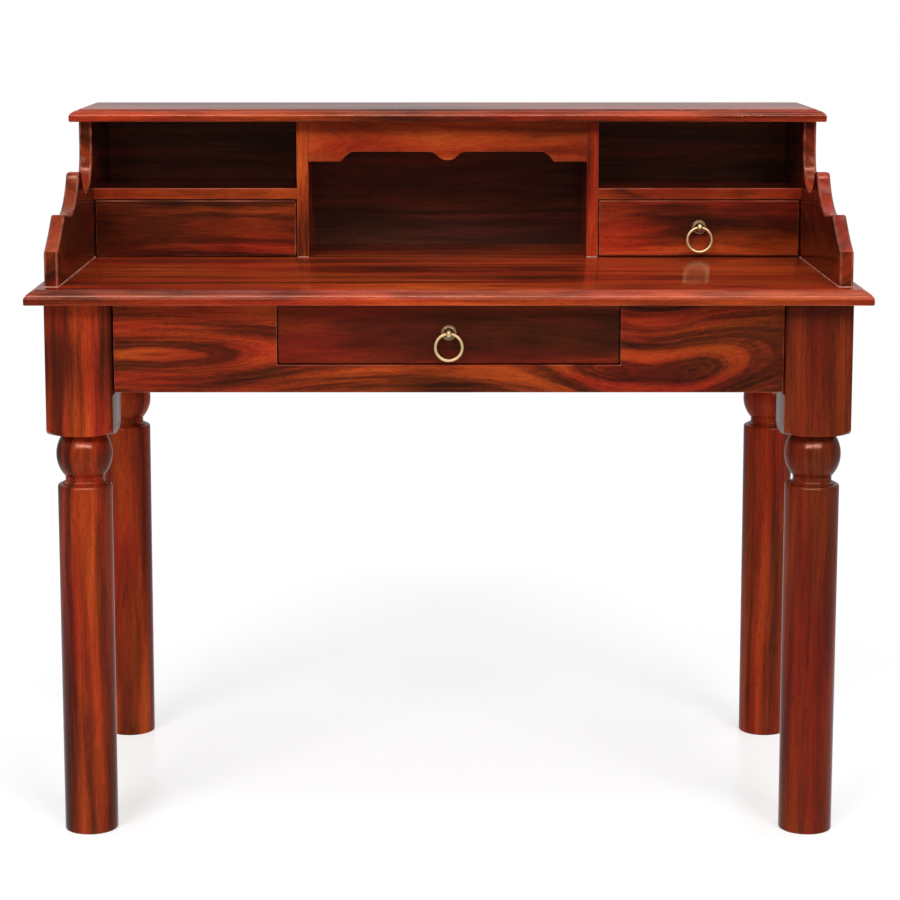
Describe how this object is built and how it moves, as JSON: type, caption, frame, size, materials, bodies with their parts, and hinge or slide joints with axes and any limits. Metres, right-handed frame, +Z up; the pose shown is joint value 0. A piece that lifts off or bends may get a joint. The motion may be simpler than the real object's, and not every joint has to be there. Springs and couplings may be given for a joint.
{
  "type": "writing desk with hutch",
  "caption": "Writing desk on turned legs with a wide inset drawer and a low hutch: scalloped ends, small drawers under shelves, and an open bay under a shaped valance.",
  "frame": {"origin": "on the floor, below the middle of the desk top", "axes": "+Z up, +X to the right of someone sitting at the desk, +Y from that person towards the back"},
  "size_m": [1.126, 0.62, 0.979],
  "materials": {
    "rosewood": "red-brown Indian rosewood type, dark streaks, glossy lacquer",
    "back_panel": "dark stained panel, satin",
    "drawer_lining": "plain planed wood, unpolished",
    "brass": "antique brass, polished by use",
    "steel": "bright zinc plate"
  },
  "bodies": {
    "root": {"desk_top": "rosewood", "leg_front_left": "rosewood", "leg_front_right": "rosewood", "leg_back_left": "rosewood", "leg_back_right": "rosewood", "front_apron": "rosewood", "back_apron": "rosewood", "left_apron": "rosewood", "right_apron": "rosewood", "corner_block_front_left": "rosewood", "corner_block_front_right": "rosewood", "corner_block_back_left": "rosewood", "corner_block_back_right": "rosewood", "leg_bolt_front_left": "steel", "leg_bolt_front_right": "steel", "leg_bolt_back_left": "steel", "leg_bolt_back_right": "steel", "leg_nut_front_left": "steel", "leg_nut_front_right": "steel", "leg_nut_back_left": "steel", "leg_nut_back_right": "steel", "drawer_runner_left": "drawer_lining", "drawer_runner_right": "drawer_lining", "drawer_stop_left": "drawer_lining", "drawer_stop_right": "drawer_lining", "hutch_top": "rosewood", "hutch_end_left": "rosewood", "hutch_end_right": "rosewood", "hutch_divider_left": "rosewood", "hutch_divider_right": "rosewood", "hutch_shelf_left": "rosewood", "hutch_shelf_right": "rosewood", "hutch_valance": "rosewood", "hutch_back_panel": "back_panel"},
    "middle_drawer": {"middle_drawer_front": "rosewood", "middle_drawer_side_left": "drawer_lining", "middle_drawer_side_right": "drawer_lining", "middle_drawer_back": "drawer_lining", "middle_drawer_bottom": "drawer_lining", "middle_pull_rosette": "brass", "middle_pull_post": "brass", "middle_pull_nut": "brass"},
    "middle_ring": {"middle_pull_ring": "brass"},
    "left_drawer": {"left_drawer_front": "rosewood", "left_drawer_side_left": "drawer_lining", "left_drawer_side_right": "drawer_lining", "left_drawer_back": "drawer_lining", "left_drawer_bottom": "drawer_lining"},
    "right_drawer": {"right_drawer_front": "rosewood", "right_drawer_side_left": "drawer_lining", "right_drawer_side_right": "drawer_lining", "right_drawer_back": "drawer_lining", "right_drawer_bottom": "drawer_lining", "right_pull_rosette": "brass", "right_pull_post": "brass", "right_pull_nut": "brass"},
    "right_ring": {"right_pull_ring": "brass"}
  },
  "joints": [
    {"name": "middle_drawer_slide", "type": "slide", "parent": "root", "child": "middle_drawer", "axis": [0, -1, 0], "range_m": [0, 0.3]},
    {"name": "middle_ring_swing", "type": "hinge", "parent": "middle_drawer", "child": "middle_ring", "pos_m": [0, -0.2865, 0.6995], "axis": [-1, 0, 0], "range_deg": [-10, 150]},
    {"name": "left_drawer_slide", "type": "slide", "parent": "root", "child": "left_drawer", "axis": [0, -1, 0], "range_m": [0, 0.12]},
    {"name": "right_drawer_slide", "type": "slide", "parent": "root", "child": "right_drawer", "axis": [0, -1, 0], "range_m": [0, 0.12]},
    {"name": "right_ring_swing", "type": "hinge", "parent": "right_drawer", "child": "right_ring", "pos_m": [0.37225, 0.099, 0.80425], "axis": [-1, 0, 0], "range_deg": [-10, 150]}
  ]
}
